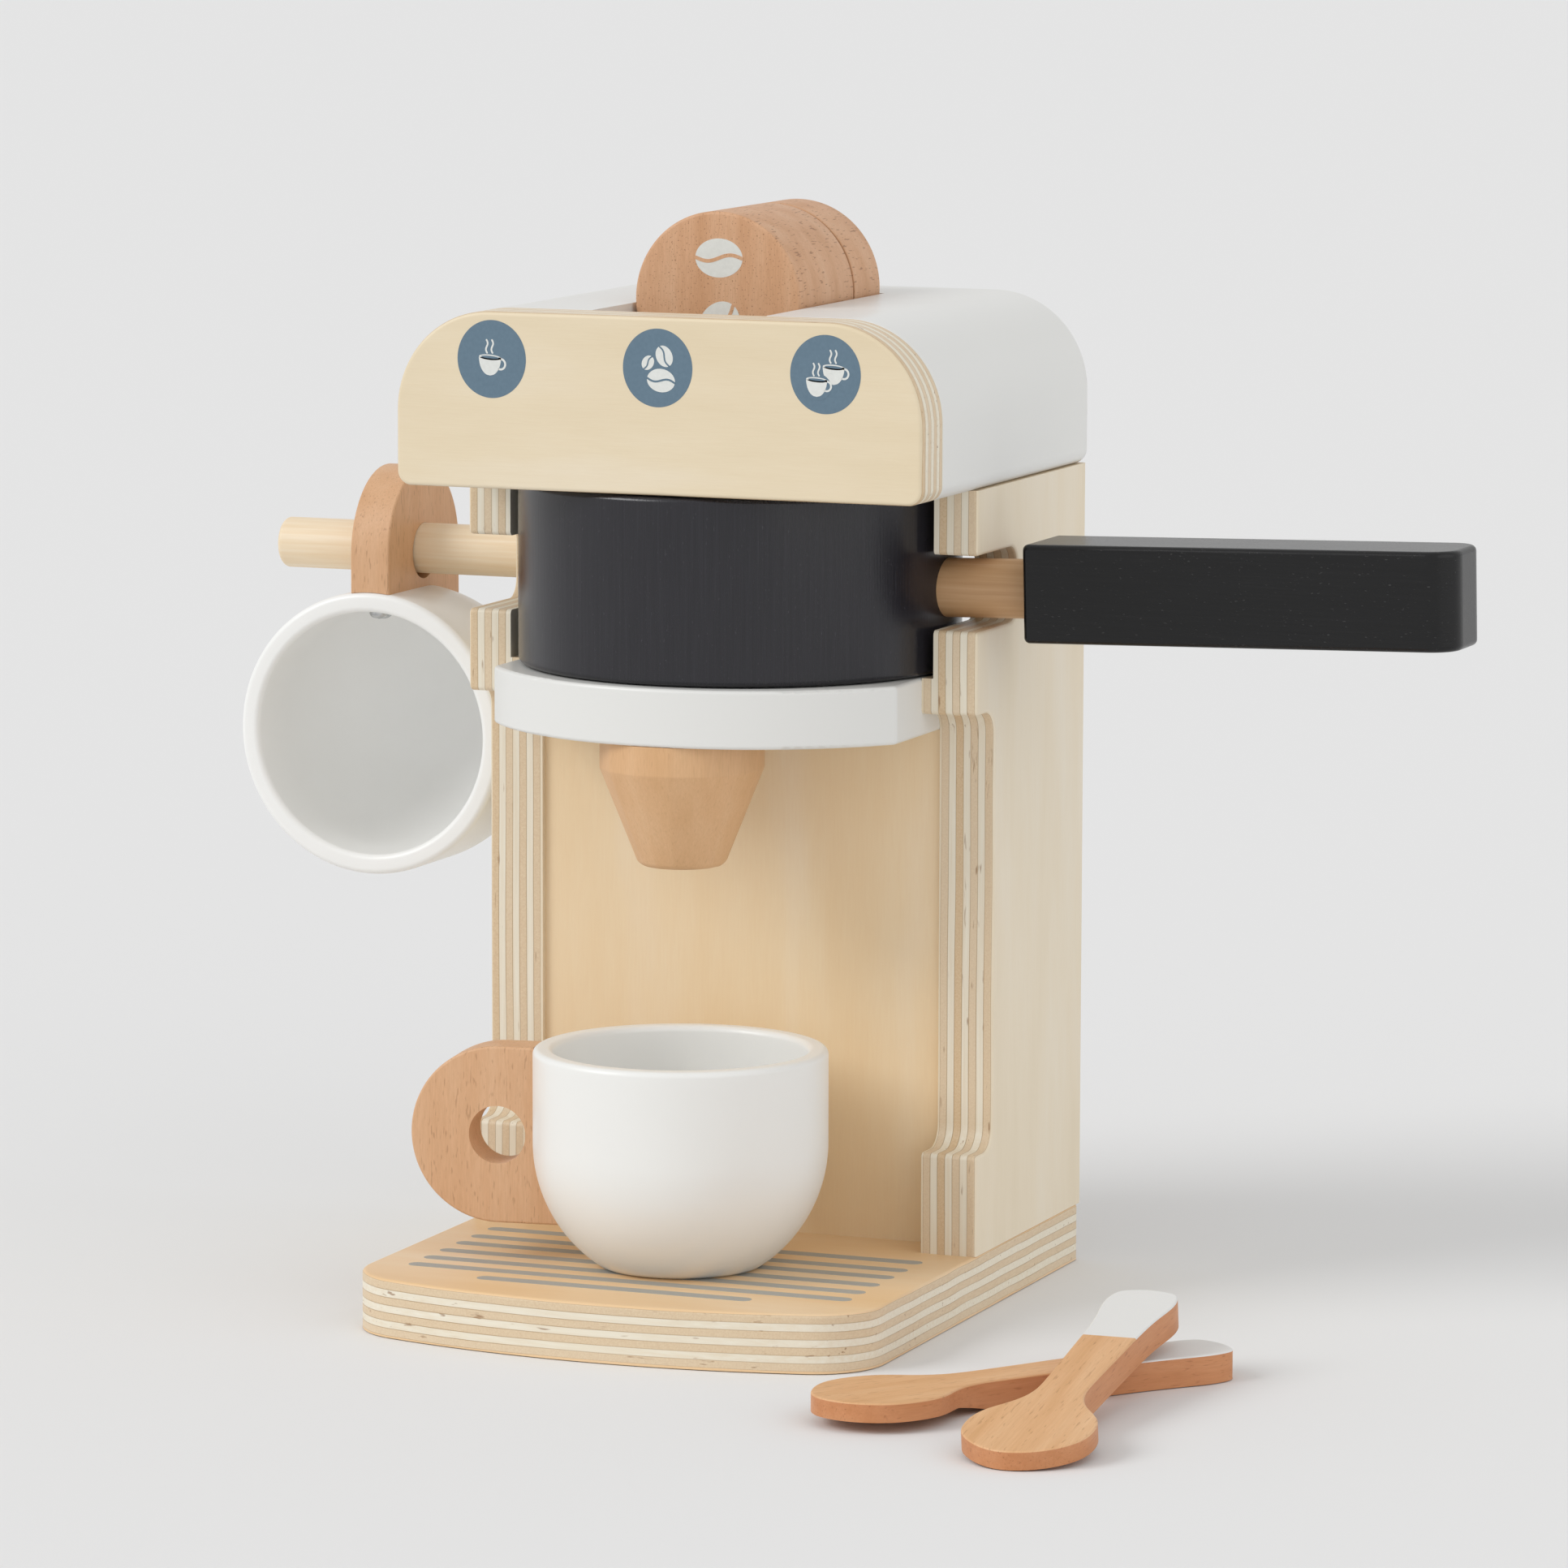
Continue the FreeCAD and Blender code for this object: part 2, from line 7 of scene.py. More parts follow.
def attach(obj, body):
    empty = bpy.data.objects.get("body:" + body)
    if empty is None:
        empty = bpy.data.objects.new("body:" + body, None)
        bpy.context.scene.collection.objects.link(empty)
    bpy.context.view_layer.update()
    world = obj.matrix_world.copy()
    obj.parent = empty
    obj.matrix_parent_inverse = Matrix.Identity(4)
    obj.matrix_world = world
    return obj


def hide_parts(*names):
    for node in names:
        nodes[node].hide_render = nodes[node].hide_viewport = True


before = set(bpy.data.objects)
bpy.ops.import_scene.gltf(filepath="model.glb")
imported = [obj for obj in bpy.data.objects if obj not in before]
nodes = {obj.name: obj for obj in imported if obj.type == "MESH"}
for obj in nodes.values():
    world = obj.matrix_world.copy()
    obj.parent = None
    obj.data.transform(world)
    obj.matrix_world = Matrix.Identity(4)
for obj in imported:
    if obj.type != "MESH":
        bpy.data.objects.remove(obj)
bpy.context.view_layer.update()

mm = 0.001
backY = 68.75  # the column's back plane, in mm from the middle of the base


def at(x, depth, z):
    # a place given as the workshop measures it: depth is counted from the column's back
    return np.array([x, backY - depth, z]) * mm


def linear(code):
    # sRGB hex to the linear colour that the shaders take
    parts = [int(code[i:i + 2], 16) / 255 for i in (1, 3, 5)]
    return tuple(c / 12.92 if c <= 0.04045 else ((c + 0.055) / 1.055) ** 2.4 for c in parts) + (1.0,)


def addNode(tree, kind, inputs=None, out=0, stops=None, **settings):
    # one shader node; inputs are values or incoming sockets, stops a ramp's colours; gives back one output
    made = tree.nodes.new("ShaderNode" + kind)
    for key, value in settings.items():
        setattr(made, key, value)
    for key, value in (inputs or {}).items():
        if isinstance(value, bpy.types.NodeSocket):
            tree.links.new(value, made.inputs[key])
        else:
            made.inputs[key].default_value = value
    if stops:
        ramp = made.color_ramp.elements
        while len(ramp) < len(stops):
            ramp.new(0.5)
        for element, (place, code) in zip(ramp, stops):
            element.position = place
            element.color = linear(code)
    return made.outputs[out] if made.outputs else None


def startMaterial(name):
    # an empty material, its node tree and the object's own coordinates
    material = bpy.data.materials.new(name)
    material.use_nodes = True
    tree = material.node_tree
    tree.nodes.clear()
    return material, tree, addNode(tree, "TexCoord", out="Object")


def grainNoise(tree, place, grain, acrossMm, alongMm, detail=3.0, rough=0.55, shift=0.0):
    # noise drawn out along the axis called grain: about acrossMm wide and alongMm long
    size = [1 / (acrossMm * mm)] * 3
    size[grain] = 1 / (alongMm * mm)
    drawn = addNode(tree, "Mapping", {"Vector": place, "Scale": size, "Location": (shift, shift * 0.7, shift * 1.3)})
    return addNode(tree, "TexNoise", {"Vector": drawn, "Scale": 1.0, "Detail": detail, "Roughness": rough})


# Birch plywood under clear satin varnish: pale face veneer with soft streaks, and edges that show the
# inner plies, light where the grain runs along the edge and tan where it ends there
plyBoard = {"plyMm": 1.6, "faceMm": 0.4, "swayPlies": 0.35, "glueShare": 0.05, "light": ("#F2EDDD", "#E4D4B8"),
            "tan": ("#E4CEAC", "#D0B189"), "own": "#F0E8D6", "glue": "#A5855B", "flaw": "#8E6238", "roughness": 0.48}


def birchPlywood(name, stack, startMm, inner, grain, shift, faceTones):
    # stack is the axis through the plies, startMm the place of the first face and inner their number inside
    material, tree, place = startMaterial(name)
    perPly = 1 / (plyBoard["plyMm"] * mm)
    sway = plyBoard["swayPlies"]
    through = addNode(tree, "SeparateXYZ", {0: place}, stack)
    wobble = grainNoise(tree, place, grain, 14, 40, 1.0, shift=shift)
    offset = -(startMm + plyBoard["faceMm"]) * mm * perPly - sway / 2
    straight = addNode(tree, "Math", {0: through, 1: perPly, 2: offset}, operation="MULTIPLY_ADD")
    layer = addNode(tree, "Math", {0: wobble, 1: sway, 2: straight}, operation="MULTIPLY_ADD")
    number = addNode(tree, "Math", {0: layer}, operation="FLOOR")
    within = addNode(tree, "Math", {0: layer}, operation="FRACT")
    odd = addNode(tree, "Math", {0: number, 1: 1.0}, operation="PINGPONG")
    other = 1 if stack == 2 else 2
    if other == grain:
        other = 3 - stack - grain
    streak = grainNoise(tree, place, grain, 0.7, 26, 4.0, shift=shift)
    pores = grainNoise(tree, place, other, 0.4, 1.6, 3.0, 0.7, shift=shift + 3)
    lightPly = addNode(tree, "ValToRGB", {0: streak}, stops=[(0.2, plyBoard["light"][0]), (0.9, plyBoard["light"][1])])
    tanPly = addNode(tree, "ValToRGB", {0: pores}, stops=[(0.2, plyBoard["tan"][0]), (0.8, plyBoard["tan"][1])])
    core = addNode(tree, "Mix", {0: odd, 6: tanPly, 7: lightPly}, 2, data_type="RGBA")
    seed = addNode(tree, "Math", {0: number, 1: shift}, operation="ADD")
    own = addNode(tree, "TexWhiteNoise", {"W": seed}, noise_dimensions="1D")
    ownShare = addNode(tree, "Math", {0: own, 1: 0.3}, operation="MULTIPLY")
    core = addNode(tree, "Mix", {0: ownShare, 6: core, 7: linear(plyBoard["own"])}, 2, data_type="RGBA")
    flaws = addNode(tree, "ValToRGB", {0: grainNoise(tree, place, grain, 1.0, 7.0, 2.0, shift=shift + 9)},
                    stops=[(0.67, "#000000"), (0.75, "#D8D8D8")])
    core = addNode(tree, "Mix", {0: flaws, 6: core, 7: linear(plyBoard["flaw"])}, 2, data_type="RGBA")
    body = addNode(tree, "Math", {0: within, 1: 0.5, 2: 0.5 - plyBoard["glueShare"]}, operation="COMPARE")
    glueShare = addNode(tree, "Math", {0: wobble, 1: 0.8, 2: 0.15}, operation="MULTIPLY_ADD")
    glued = addNode(tree, "Mix", {0: glueShare, 6: core, 7: linear(plyBoard["glue"])}, 2, data_type="RGBA")
    core = addNode(tree, "Mix", {0: body, 6: glued, 7: core}, 2, data_type="RGBA")
    broad = grainNoise(tree, place, grain, 16, 90, 3.0, 0.55, shift=shift + 5)
    deep, middle, pale, line = faceTones
    figure = addNode(tree, "ValToRGB", {0: broad}, stops=[(0.3, deep), (0.52, middle), (0.75, pale)])
    fine = grainNoise(tree, place, grain, 0.4, 7, 4.0, 0.62, shift=shift + 7)
    fineShare = addNode(tree, "Math", {0: fine, 1: 0.24}, operation="MULTIPLY")
    face = addNode(tree, "Mix", {0: fineShare, 6: figure, 7: linear(line)}, 2, data_type="RGBA")
    isInner = addNode(tree, "Math", {0: layer, 1: inner / 2, 2: inner / 2}, operation="COMPARE")
    colour = addNode(tree, "Mix", {0: isInner, 6: face, 7: core}, 2, data_type="RGBA")
    height = addNode(tree, "Math", {0: body, 1: 0.6, 2: fine}, operation="MULTIPLY_ADD")
    bump = addNode(tree, "Bump", {"Strength": 0.35, "Distance": 0.08 * mm, "Height": height})
    shader = addNode(tree, "BsdfPrincipled", {"Base Color": colour, "Roughness": plyBoard["roughness"], "Normal": bump,
                                              "Coat Weight": 0.12, "Coat Roughness": 0.35})
    addNode(tree, "OutputMaterial", {"Surface": shader})
    return material


# Oiled beech, planed: even pinkish tan, fine pores along the grain and short dark flecks
beechWood = {"figure": ("#CF9D74", "#DBAC86", "#E3BA97"), "pore": "#AF7E56", "fleck": "#7E4F2A", "roughness": 0.5}


def oiledBeech(name, grain, fleckWay, shift=0.0, flecked=0.5, lighter=0.0, tint="#EFD3B2"):
    # flecked says how strongly the dark dashes show, lighter how far the wood is drawn to the tint
    material, tree, place = startMaterial(name)
    deep, middle, pale = beechWood["figure"]
    broad = grainNoise(tree, place, grain, 6, 50, shift=shift)
    figure = addNode(tree, "ValToRGB", {0: broad}, stops=[(0.25, deep), (0.5, middle), (0.78, pale)])
    pores = grainNoise(tree, place, grain, 0.32, 4.0, 4.0, 0.7, shift=shift + 2)
    poreShare = addNode(tree, "Math", {0: pores, 1: 0.9, 2: -0.22}, operation="MULTIPLY_ADD")
    body = addNode(tree, "Mix", {0: poreShare, 6: figure, 7: linear(beechWood["pore"])}, 2, data_type="RGBA")
    body = addNode(tree, "Mix", {0: lighter, 6: body, 7: linear(tint)}, 2, data_type="RGBA")
    dashes = grainNoise(tree, place, fleckWay, 0.36, 2.4, 1.0, 0.3, shift=shift + 4)
    flecks = addNode(tree, "ValToRGB", {0: dashes}, stops=[(0.64, "#000000"), (0.73, "#FFFFFF")])
    fleckShare = addNode(tree, "Math", {0: flecks, 1: flecked}, operation="MULTIPLY")
    body = addNode(tree, "Mix", {0: fleckShare, 6: body, 7: linear(beechWood["fleck"])}, 2, data_type="RGBA")
    height = addNode(tree, "Math", {0: fleckShare, 1: -0.8, 2: pores}, operation="MULTIPLY_ADD")
    bump = addNode(tree, "Bump", {"Strength": 0.3, "Distance": 0.08 * mm, "Height": height})
    shader = addNode(tree, "BsdfPrincipled", {"Base Color": body, "Roughness": beechWood["roughness"], "Normal": bump})
    addNode(tree, "OutputMaterial", {"Surface": shader})
    return material


# White satin lacquer sprayed on wood: nearly even, with a faint orange peel and the grain just showing
def whiteLacquer(name, grain, code, shift):
    material, tree, place = startMaterial(name)
    cloud = grainNoise(tree, place, grain, 18, 30, 2.0, shift=shift)
    cloudShare = addNode(tree, "Math", {0: cloud, 1: 0.25}, operation="MULTIPLY")
    colour = addNode(tree, "Mix", {0: cloudShare, 6: linear(code), 7: linear("#E2E2DE")}, 2, data_type="RGBA")
    peel = grainNoise(tree, place, grain, 0.9, 1.6, 2.0, shift=shift + 1)
    pores = grainNoise(tree, place, grain, 0.4, 9, shift=shift + 2)
    height = addNode(tree, "Math", {0: pores, 1: 0.7, 2: peel}, operation="MULTIPLY_ADD")
    bump = addNode(tree, "Bump", {"Strength": 0.16, "Distance": 0.08 * mm, "Height": height})
    shader = addNode(tree, "BsdfPrincipled", {"Base Color": colour, "Roughness": 0.38, "Normal": bump,
                                              "Coat Weight": 0.2, "Coat Roughness": 0.25})
    addNode(tree, "OutputMaterial", {"Surface": shader})
    return material


# Black satin lacquer over open-pored wood: charcoal, paler hairlines along the grain and pinhole pores
def blackLacquer(name, grain, shift, tones, specular):
    material, tree, place = startMaterial(name)
    hair = grainNoise(tree, place, grain, 0.45, 22, 4.0, 0.65, shift=shift)
    lines = addNode(tree, "ValToRGB", {0: hair}, stops=[(0.38, tones[0]), (0.62, tones[1]), (0.8, tones[2])])
    specks = addNode(tree, "ValToRGB", {0: grainNoise(tree, place, grain, 0.3, 0.9, 1.0, 0.3, shift=shift + 2)},
                     stops=[(0.73, "#000000"), (0.79, "#B0B0B0")])
    colour = addNode(tree, "Mix", {0: specks, 6: lines, 7: linear(tones[3])}, 2, data_type="RGBA")
    rough = addNode(tree, "MapRange", {"Value": hair, "To Min": 0.2, "To Max": 0.3})
    height = addNode(tree, "Math", {0: specks, 1: -0.8, 2: hair}, operation="MULTIPLY_ADD")
    bump = addNode(tree, "Bump", {"Strength": 0.3, "Distance": 0.1 * mm, "Height": height})
    shader = addNode(tree, "BsdfPrincipled", {"Base Color": colour, "Roughness": rough, "Normal": bump,
                                              "Specular IOR Level": specular})
    addNode(tree, "OutputMaterial", {"Surface": shader})
    return material


# Maple dowel, sanded: cream with long quiet streaks along its length
def mapleDowel(name, shift, tones):
    material, tree, place = startMaterial(name)
    streak = grainNoise(tree, place, 0, 1.0, 30, 4.0, shift=shift)
    tone = addNode(tree, "ValToRGB", {0: streak}, stops=[(0.3, tones[0]), (0.55, tones[1]), (0.75, tones[2])])
    fibre = grainNoise(tree, place, 0, 0.4, 9, shift=shift + 1)
    bump = addNode(tree, "Bump", {"Strength": 0.2, "Distance": 0.08 * mm, "Height": fibre})
    shader = addNode(tree, "BsdfPrincipled", {"Base Color": tone, "Roughness": 0.48, "Normal": bump})
    addNode(tree, "OutputMaterial", {"Surface": shader})
    return material


# Zinc-plated steel: pale grey metal with a slightly uneven, soft gloss
def zincSteel(name):
    material, tree, place = startMaterial(name)
    smear = grainNoise(tree, place, 0, 0.5, 1.5, 2.0)
    tone = addNode(tree, "ValToRGB", {0: smear}, stops=[(0.3, "#D5D6D6"), (0.7, "#B4B5B6")])
    rough = addNode(tree, "MapRange", {"Value": smear, "To Min": 0.35, "To Max": 0.5})
    shader = addNode(tree, "BsdfPrincipled", {"Base Color": tone, "Roughness": rough, "Metallic": 1.0})
    addNode(tree, "OutputMaterial", {"Surface": shader})
    return material


# Screen-printed ink on varnish: flat colour, very slightly mottled, matt
def screenInk(name, code, other):
    material, tree, place = startMaterial(name)
    mottle = grainNoise(tree, place, 0, 0.8, 0.8)
    tone = addNode(tree, "ValToRGB", {0: mottle}, stops=[(0.2, code), (0.8, other)])
    bump = addNode(tree, "Bump", {"Strength": 0.08, "Distance": 0.03 * mm, "Height": mottle})
    shader = addNode(tree, "BsdfPrincipled", {"Base Color": tone, "Roughness": 0.6, "Normal": bump})
    addNode(tree, "OutputMaterial", {"Surface": shader})
    return material


def dress(node, material):
    # a CAD part keeps its mesh and place and gets its finish
    nodes[node].data.materials.clear()
    nodes[node].data.materials.append(material)


def turned(profile, around=160, facets=0, facetShare=0.0):
    # a lathe surface: every profile point (radius, height) goes round the local Z axis; with facets the
    # radius sinks between them as a polygon's does. Poles are single points, so both ends are closed.
    profile = np.asarray(profile, float)
    ring = np.linspace(0, 2 * np.pi, around, endpoint=False)
    middle = profile[1:-1]
    factor = np.ones(around)
    if facets:
        half = np.pi / facets
        factor = 1 - facetShare * (1 - math.cos(half) / np.cos(np.mod(ring, 2 * half) - half))
    radius = middle[:, 0][:, None] * factor[None, :]
    height = np.repeat(middle[:, 1][:, None], around, 1)
    grid = np.stack([radius * np.cos(ring), radius * np.sin(ring), height], -1).reshape(-1, 3)
    poles = np.array([[0, 0, profile[0, 1]], [0, 0, profile[-1, 1]]])
    points = np.concatenate([grid, poles])
    rows, cols = np.meshgrid(np.arange(len(middle) - 1), np.arange(around), indexing="ij")
    after = (cols + 1) % around
    here, above = rows * around, (rows + 1) * around
    quads = np.stack([here + cols, here + after, above + after, above + cols], -1).reshape(-1, 4)
    first, last = len(grid), len(grid) + 1
    step = np.arange(around)
    nextStep = (step + 1) % around
    lowFan = np.stack([np.full(around, first), nextStep, step], -1)
    base = (len(middle) - 1) * around
    highFan = np.stack([np.full(around, last), base + step, base + nextStep], -1)
    return points, quads.tolist() + lowFan.tolist() + highFan.tolist()


def roundedProfile(corners, steps=8):
    # a polyline whose inner corners (radius, height, rounding) are replaced by arcs of that rounding
    out = [np.array(corners[0][:2], float)]
    for i in range(1, len(corners) - 1):
        here = np.array(corners[i][:2], float)
        size = corners[i][2]
        back = np.array(corners[i - 1][:2], float) - here
        on = np.array(corners[i + 1][:2], float) - here
        back, on = back / np.linalg.norm(back), on / np.linalg.norm(on)
        opening = math.acos(np.clip(back @ on, -1, 1))
        if size <= 0 or opening > 3.1:
            out.append(here)
            continue
        reach = size / math.tan(opening / 2)
        bisector = (back + on) / np.linalg.norm(back + on)
        centre = here + bisector * size / math.sin(opening / 2)
        start, end = here + back * reach - centre, here + on * reach - centre
        square = np.array([-start[1], start[0]])
        turn = math.atan2(start[0] * end[1] - start[1] * end[0], start @ end)
        angles = np.linspace(0, turn, steps)[:, None]
        out.extend(centre + start * np.cos(angles) + square * np.sin(angles))
    out.append(np.array(corners[-1][:2], float))
    return np.array(out)


def moved(points, matrix):
    # points turned by the matrix and then shifted by it
    return points @ np.array(matrix)[:3, :3].T + np.array(matrix)[:3, 3]


def closedPiece(name, profile, matrix, material, body, slot, standsFor, **shape):
    # a turned piece in millimetres, put in place by the matrix, that stands in for one CAD node
    points, faces = turned(profile, **shape)
    points = moved(points * mm, matrix)
    mesh = bpy.data.meshes.new(name)
    mesh.from_pydata(points.tolist(), [], faces)
    mesh.polygons.foreach_set("use_smooth", np.ones(len(mesh.polygons), bool))
    mesh.update()
    piece = bpy.data.objects.new(name, mesh)
    bpy.context.scene.collection.objects.link(piece)
    mesh.materials.append(material)
    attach(piece, body)
    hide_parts(standsFor)


def inkPiece(name, outlines, plane, liftMm, material, body):
    # screen print: each outline (across, up) in mm becomes a closed slab that stands liftMm proud of its plane
    # and reaches 0.02 mm into the wood; outlines that run the wrong way round are turned first
    origin, across, up, out = [np.asarray(v, float) for v in plane]
    facing = np.cross(across, up) @ out
    points, faces, start = [], [], 0
    for outline in outlines:
        outline = np.asarray(outline, float)
        x, y = outline.T
        if (x @ np.roll(y, -1) - y @ np.roll(x, -1)) * facing < 0:
            outline = outline[::-1]
        flat = origin + (outline[:, :1] * across + outline[:, 1:] * up) * mm
        points += [flat + out * liftMm * mm, flat - out * 0.02 * mm]
        count = len(outline)
        top = np.arange(start, start + count)
        after = np.roll(top, -1)
        faces += [top.tolist(), (top[::-1] + count).tolist()]
        faces += np.stack([top + count, after + count, after, top], -1).tolist()
        start += 2 * count
    mesh = bpy.data.meshes.new(name)
    mesh.from_pydata(np.concatenate(points).tolist(), [], faces)
    mesh.update()
    piece = bpy.data.objects.new(name, mesh)
    bpy.context.scene.collection.objects.link(piece)
    mesh.materials.append(material)
    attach(piece, body)


def oval(centre, half, turn=0.0, count=72):
    # an ellipse with half axes half, turned by turn degrees
    angle = np.linspace(0, 2 * np.pi, count, endpoint=False)
    c, s = math.cos(math.radians(turn)), math.sin(math.radians(turn))
    x, y = half[0] * np.cos(angle), half[1] * np.sin(angle)
    return np.stack([centre[0] + c * x - s * y, centre[1] + s * x + c * y], -1)


def ribbon(line, width):
    # a band of that width along a line, with round ends
    line = np.asarray(line, float)
    ahead = np.gradient(line, axis=0)
    ahead /= np.linalg.norm(ahead, axis=1)[:, None]
    side = np.stack([-ahead[:, 1], ahead[:, 0]], -1) * width / 2
    angle = np.linspace(np.pi / 2, -np.pi / 2, 9)[1:-1, None]
    caps = []
    for middle, way in ((line[-1], ahead[-1]), (line[0], -ahead[0])):
        caps.append(middle + width / 2 * (np.cos(angle) * way + np.sin(angle) * np.array([-way[1], way[0]])))
    return np.concatenate([line + side, caps[0], (line - side)[::-1], caps[1]])


def wavyLine(start, end, swing, waves, count=25):
    # a line from start to end that sways sideways as a sine
    t = np.linspace(0, 1, count)[:, None]
    start, end = np.array(start, float), np.array(end, float)
    ahead = (end - start) / np.linalg.norm(end - start)
    side = np.array([-ahead[1], ahead[0]])
    return start + (end - start) * t + side * swing * np.sin(2 * np.pi * waves * t)


print("materials and helpers ready")

# The camera stands where the photograph was taken from
view = {"placeMm": (596.95, -1464.83, 327.33), "yaw": 21.65, "pitch": -7.90, "roll": 0.15, "lensMm": 177.83}
yaw, pitch, roll = (math.radians(view[k]) for k in ("yaw", "pitch", "roll"))
ahead = Vector((-math.sin(yaw) * math.cos(pitch), math.cos(yaw) * math.cos(pitch), math.sin(pitch)))
right = Vector((math.cos(yaw), math.sin(yaw), 0))
upward = right.cross(ahead)
cameraX = right * math.cos(roll) + upward * math.sin(roll)
cameraY = upward * math.cos(roll) - right * math.sin(roll)
cameraData = bpy.data.cameras.new("camera")
cameraData.lens = view["lensMm"]
cameraData.sensor_width = 36
cameraData.clip_end = 100
camera = bpy.data.objects.new("camera", cameraData)
bpy.context.scene.collection.objects.link(camera)
turnOnly = Matrix((cameraX, cameraY, -ahead)).transposed()
camera.matrix_world = Matrix.Translation(Vector(view["placeMm"]) * mm) @ turnOnly.to_4x4()
bpy.context.scene.camera = camera

# Birch boards: stack is the axis through the plies, startMm where the first face lies, inner the plies inside
paleTones = ("#E9DBC0", "#EFE2CA", "#F2E8D5", "#D9C29C")
plateTones = ("#E4D4B5", "#E9DABD", "#EDE1CA", "#D3B98F")
oiledTones = ("#EBC797", "#EFCFA4", "#F2D9B5", "#D6A670")
splashTones = ("#F0D6AD", "#F3DDB8", "#F5E4C7", "#DFB280")
plateFace, splashFace = 100.1, 53.8  # depths of the two upright boards' front faces
boards = {
    "left_side_panel": {"stack": 0, "startMm": -56.5, "inner": 7, "grain": 2, "shift": 1.0, "faceTones": paleTones},
    "right_side_panel": {"stack": 0, "startMm": 44.5, "inner": 7, "grain": 2, "shift": 2.0, "faceTones": paleTones},
    "base_plate": {"stack": 2, "startMm": 0.0, "inner": 7, "grain": 0, "shift": 3.0, "faceTones": oiledTones},
    "head_front_plate": {"stack": 1, "startMm": backY - plateFace, "inner": 7, "grain": 0, "shift": 4.0,
                         "faceTones": plateTones},
    "splash_panel": {"stack": 1, "startMm": backY - splashFace, "inner": 5, "grain": 2, "shift": 5.0,
                     "faceTones": splashTones}}
for node, board in boards.items():
    dress(node, birchPlywood("birchPlywood_" + node, **board))
print("birch boards dressed")

# White head and shelf: one lacquer, with the shelf's colour set a shade darker than the head's as painted shade
dress("head_body", whiteLacquer("whiteLacquer_head_body", 1, "#E8E8E5", 3.0))
dress("drum_shelf", whiteLacquer("whiteLacquer_drum_shelf", 0, "#E4E4E1", 2.0))

# Hidden pins and screws
pinBeech = oiledBeech("beechPins", 2, 0)
screwZinc = zincSteel("zincScrews")
for node in ("head_dowels", "plate_dowels", "shelf_dowels", "splash_dowels"):
    dress(node, pinBeech)
for node in ("base_screws", "nozzle_screw", "tray_cup_screw", "hanging_cup_screw"):
    dress(node, screwZinc)

# Drum and grip; flatTo is how far the drum's flat ends reach before the rounded edge
drum = {"radius": 46.0, "low": 131.9, "high": 170.1, "edge": 1.2, "flatTo": 42.0, "depth": 54.5, "specular": 0.5,
        "tones": ("#1B1A20", "#212026", "#2E2D33", "#46454B")}
grip = {"specular": 0.36, "tones": ("#0C0C0D", "#101011", "#1B1A1A", "#505050")}
drumProfile = roundedProfile([
    (0, drum["low"], 0), (drum["flatTo"], drum["low"], 0), (drum["radius"], drum["low"], drum["edge"]),
    (drum["radius"], drum["high"], drum["edge"]), (drum["flatTo"], drum["high"], 0), (0, drum["high"], 0)])
drumPlace = Matrix.Translation(Vector(at(0, drum["depth"], 0)))
drumBlack = blackLacquer("blackLacquerDrum", 2, 1.0, drum["tones"], drum["specular"])
closedPiece("drum", drumProfile, drumPlace, drumBlack, "portafilter", "black_paint", "portafilter_drum", around=256)
dress("portafilter_grip", blackLacquer("blackLacquerGrip", 0, 3.0, grip["tones"], grip["specular"]))

# Round rods along X: the drum's dowel, which rises tilt degrees toward the grip, and the peg
rods = {
    "handle_dowel": {"body": "portafilter", "node": "portafilter_dowel", "radius": 6.1, "x": (28.0, 79.8),
                     "depth": 54.5, "z": 148.05, "tilt": 1.4, "edges": (0.3, 0.3),
                     # the handle dowel's tones are browner and darker than the peg's: partly its own wood, partly
                     # painted shade from the drum above it
                     "tones": ("#C1966A", "#CBA277", "#D3AE86")},
    "peg": {"body": "machine", "node": "cup_peg", "radius": 5.4, "x": (-116.2, -48.5),
            "depth": 28.0, "z": 149.2, "tilt": 0.0, "edges": (1.2, 0.3),
            "tones": ("#EAD2AE", "#EFDBBC", "#F3E3CA")}}
for name, rod in rods.items():
    (start, end), (startEdge, endEdge), r = rod["x"], rod["edges"], rod["radius"]
    profile = roundedProfile([(0, start, 0), (r, start, startEdge), (r, end, endEdge), (0, end, 0)], 10)
    lying = Matrix.Rotation(math.radians(90 - rod["tilt"]), 4, "Y")
    lying = Matrix.Translation(Vector(at(0, rod["depth"], rod["z"]))) @ lying
    wood = mapleDowel("mapleDowel_" + name, r, rod["tones"])
    closedPiece(name, profile, lying, wood, rod["body"], "maple_dowel", rod["node"], around=96)
print("drum, grip and rods done")

# Nozzle: turned, with faint flats that a dull chisel leaves
spout = {"depth": 86.0, "top": 119.6, "collar": 6.0, "height": 26.2, "wide": 16.9, "narrow": 8.8,
         "rounds": (2.0, 1.2, 0.2), "flats": 14, "flatShare": 0.55}
low, collar = spout["top"] - spout["height"], spout["top"] - spout["collar"]
lipRound, collarRound, topRound = spout["rounds"]
spoutProfile = roundedProfile([
    (0, low, 0), (spout["narrow"], low, lipRound), (spout["wide"], collar, collarRound),
    (spout["wide"], spout["top"], topRound), (0, spout["top"], 0)])
spoutPlace = Matrix.Translation(Vector(at(0, spout["depth"], 0)))
spoutBeech = oiledBeech("beechNozzle", 2, 2, shift=6.0, flecked=0.1, lighter=0.34, tint="#E9C288")
closedPiece("nozzle_turned", spoutProfile, spoutPlace, spoutBeech, "machine", "beech", "nozzle",
            around=168, facets=spout["flats"], facetShare=spout["flatShare"])

